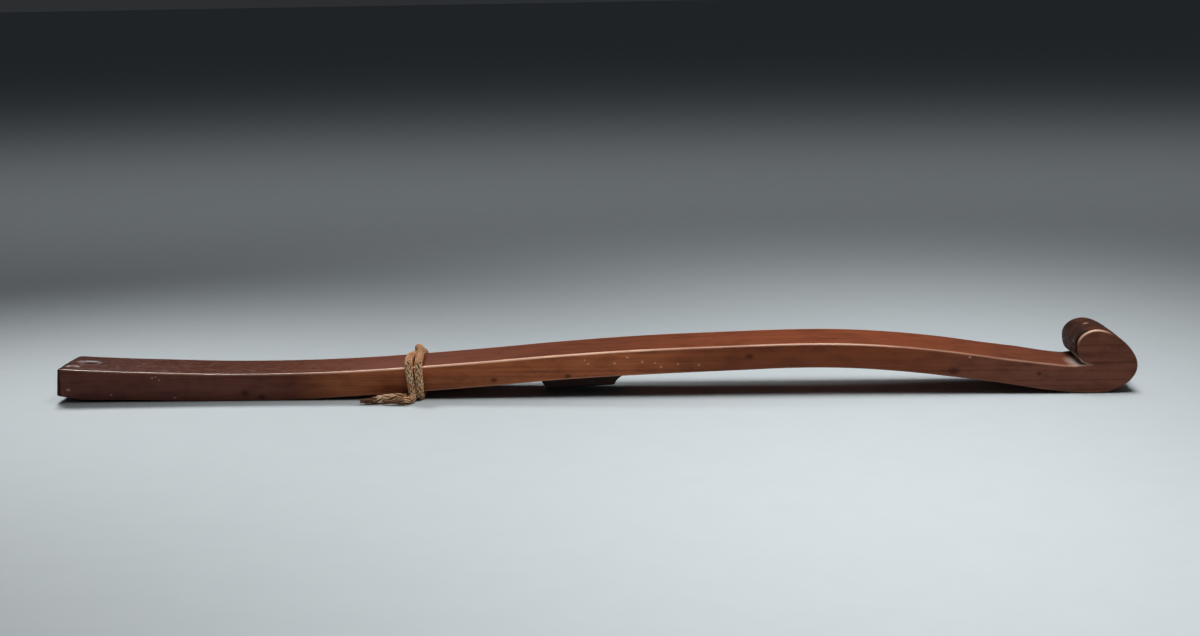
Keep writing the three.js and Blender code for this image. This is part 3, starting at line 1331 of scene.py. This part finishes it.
@dataclass(frozen=True)
class PhotoCamera:
    """The camera at the photograph's viewing angle, with its angles in degrees."""

    lens: float = 54.0
    sensor_width: float = 36.0
    place: tuple = (32.67 * MM, -743.0 * MM, 175.27 * MM)
    pitch: float = 10.985
    yaw: float = -2.210
    roll: float = -1.043
    clip: tuple = (0.01, 50.0)

    def set_up(self) -> None:
        """Adds the camera and makes it the scene's own."""
        pitch, yaw, roll = (math.radians(angle) for angle in (self.pitch, self.yaw, self.roll))
        ahead = Vector((math.sin(yaw) * math.cos(pitch), math.cos(yaw) * math.cos(pitch),
                        -math.sin(pitch)))
        level = Vector((math.cos(yaw), -math.sin(yaw), 0.0))
        upright = level.cross(ahead)
        right = level * math.cos(roll) + upright * math.sin(roll)
        up = upright * math.cos(roll) - level * math.sin(roll)
        clear_selection()
        bpy.ops.object.camera_add(location=self.place)
        camera = bpy.context.object
        turned = Matrix((right, up, -ahead)).transposed().to_4x4()
        camera.matrix_world = Matrix.Translation(self.place) @ turned
        camera.data.lens = self.lens
        camera.data.sensor_width = self.sensor_width
        camera.data.sensor_fit = "HORIZONTAL"
        camera.data.clip_start, camera.data.clip_end = self.clip
        bpy.context.scene.camera = camera


@dataclass(frozen=True)
class SoftLight:
    """One oblong soft light that faces a place (x, y) on the table."""

    name: str
    place: tuple
    aim: tuple
    size: tuple
    watts: float
    spread: float

    def hang(self) -> None:
        """Adds the light."""
        clear_selection()
        bpy.ops.object.light_add(type="AREA", location=self.place)
        light = bpy.context.object
        light.name = self.name
        light.data.shape = "RECTANGLE"
        light.data.size, light.data.size_y = self.size
        light.data.energy = self.watts
        light.data.spread = math.radians(self.spread)
        ahead = Vector((*self.aim, 0.0)) - Vector(self.place)
        light.rotation_euler = ahead.to_track_quat("-Z", "Y").to_euler()


@dataclass(frozen=True)
class Studio:
    """The pale table and the soft light."""

    table_size: float = 12.0
    table_middle: tuple = (0, 3.0, 0)
    table_finish: TableFinish = TableFinish()
    surroundings: tuple = (0.5, 0.55, 0.6)
    surroundings_strength: float = 0.05
    lights: tuple = (
        SoftLight("main_light", (0.17, -0.17, 0.62), (0.14, -0.17), (0.70, 0.28), 1.15, 66.0),
        SoftLight("left_light", (-0.40, 0.46, 0.58), (-0.22, -0.10), (0.30, 0.20), 0.40, 40.0),
        SoftLight("back_light", (0.0, 0.55, 0.80), (0.0, 0.75), (2.0, 0.6), 1.8, 130.0),
    )

    def set_up(self) -> None:
        """Adds the table, the lights and the dim surroundings."""
        clear_selection()
        bpy.ops.mesh.primitive_plane_add(size=self.table_size, location=self.table_middle)
        table = bpy.context.object
        table.name = "table_top"
        bpy.ops.object.transform_apply(location=True, rotation=False, scale=False)
        table.data.materials.append(self.table_finish.make())
        for light in self.lights:
            light.hang()
        scene = bpy.context.scene
        scene.view_settings.view_transform = "Standard"
        world = scene.world or bpy.data.worlds.new("studio")
        scene.world = world
        world.use_nodes = True
        background = world.node_tree.nodes["Background"]
        background.inputs["Color"].default_value = (*self.surroundings, 1)
        background.inputs["Strength"].default_value = self.surroundings_strength


def main() -> None:
    """Builds the pieces in order."""
    logging.basicConfig(level=logging.INFO, format="%(name)s: %(message)s")
    PhotoCamera().set_up()
    wood = CarvedWood()
    cord = BraidedCord().build(wood)
    log.info("%s: %d faces", cord.name, len(cord.data.polygons))
    body = wood.build()
    log.info("%s: %d faces", body.name, len(body.data.polygons))
    Studio().set_up()


if __name__ == "__main__":
    main()
